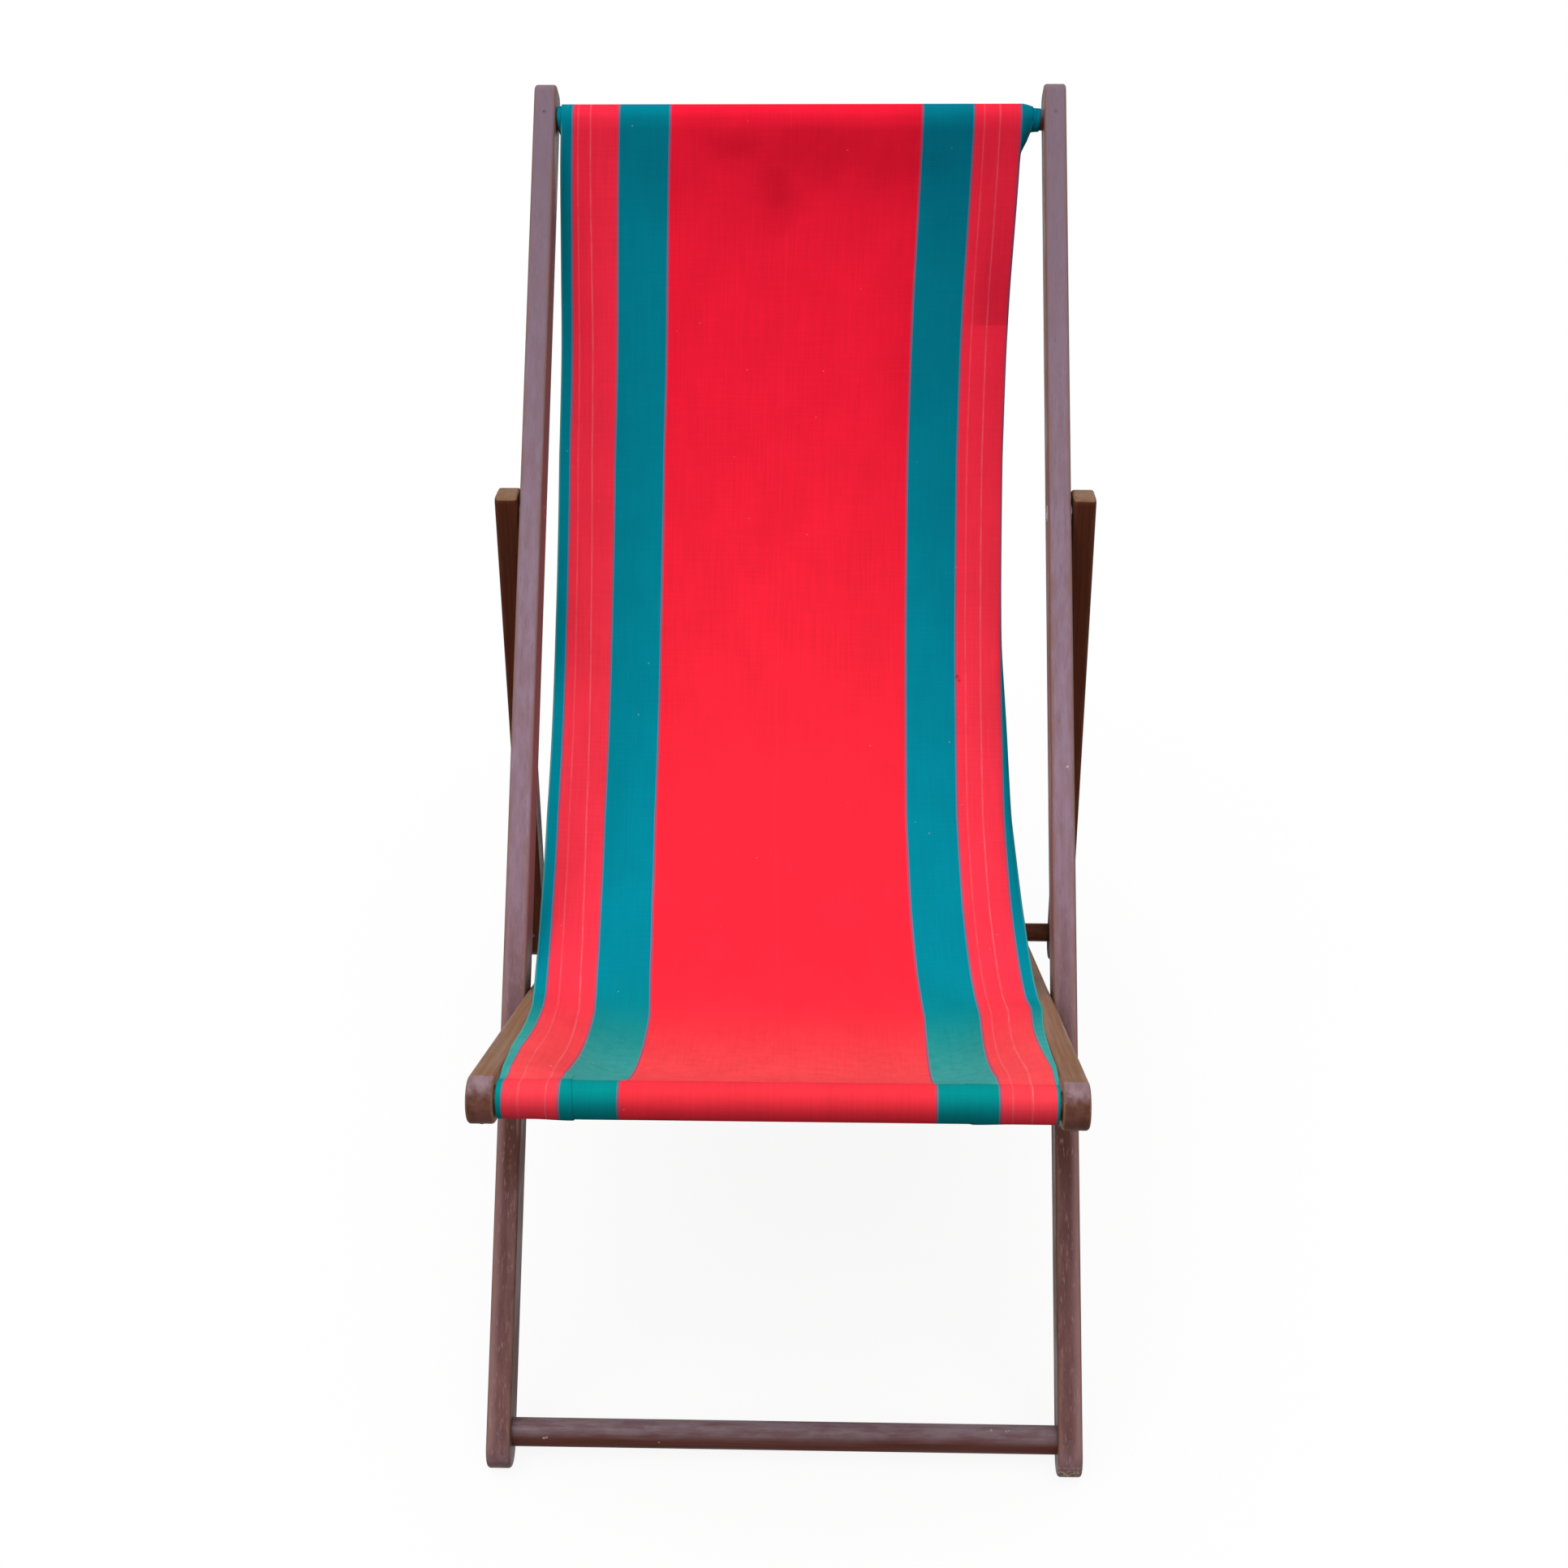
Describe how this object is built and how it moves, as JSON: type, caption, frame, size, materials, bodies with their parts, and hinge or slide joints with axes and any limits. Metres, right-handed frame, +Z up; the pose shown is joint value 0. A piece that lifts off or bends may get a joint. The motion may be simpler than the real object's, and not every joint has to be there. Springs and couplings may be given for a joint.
{
  "type": "folding deck chair",
  "caption": "Folding wooden deck chair: a striped canvas sling between two crossed rail frames, held open by a swinging prop whose bar sits in notches.",
  "frame": {"origin": "on the floor, at the middle of the open chair's box", "axes": "-Y to the chair's front, +X to the right in a view from the front, +Z up"},
  "size_m": [0.572, 0.939, 0.9874],
  "materials": {
    "main_rail_wood": "weathered, worn varnish",
    "seat_rail_wood": "weathered, worn varnish",
    "prop_wood": "weathered, worn varnish",
    "bar_wood": "satin, handled smooth",
    "striped_canvas": "plain-weave cotton, matt",
    "pivot_steel": "dull zinc plate",
    "nail_steel": "dark, rusted heads",
    "tack_brass": "aged, satin"
  },
  "bodies": {
    "main_frame": {"left_main_rail": "main_rail_wood", "right_main_rail": "main_rail_wood", "top_bar": "bar_wood", "foot_bar": "bar_wood", "main_bar_nails": "nail_steel", "left_seat_pivot_bolt": "pivot_steel", "right_seat_pivot_bolt": "pivot_steel", "seat_pivot_spacers": "pivot_steel", "seat_pivot_washers": "pivot_steel", "seat_pivot_nuts": "pivot_steel", "left_prop_pivot_bolt": "pivot_steel", "right_prop_pivot_bolt": "pivot_steel", "prop_pivot_spacers": "pivot_steel", "prop_pivot_flush_nuts": "pivot_steel", "top_canvas_roll": "striped_canvas", "top_roll_tacks": "tack_brass", "sling": "striped_canvas"},
    "seat_frame": {"left_seat_rail": "seat_rail_wood", "right_seat_rail": "seat_rail_wood", "seat_front_bar": "bar_wood", "seat_rear_bar": "bar_wood", "seat_bar_nails": "nail_steel", "front_canvas_roll": "striped_canvas", "front_roll_tacks": "tack_brass"},
    "prop_frame": {"left_prop_rail": "prop_wood", "right_prop_rail": "prop_wood", "prop_bar": "bar_wood", "prop_bar_nails": "nail_steel"}
  },
  "joints": [
    {"name": "seat_fold", "type": "hinge", "parent": "main_frame", "child": "seat_frame", "pos_m": [0, -0.1581, 0.3045], "axis": [1, 0, 0], "range_deg": [0, 67], "deforming": ["sling"]},
    {"name": "prop_swing", "type": "hinge", "parent": "main_frame", "child": "prop_frame", "pos_m": [0, 0.16416, 0.65618], "axis": [1, 0, 0], "range_deg": [0, 140.2]}
  ],
  "couplings": [
    {"joint": "prop_swing", "follows": "seat_fold", "ratio": 2.092}
  ]
}
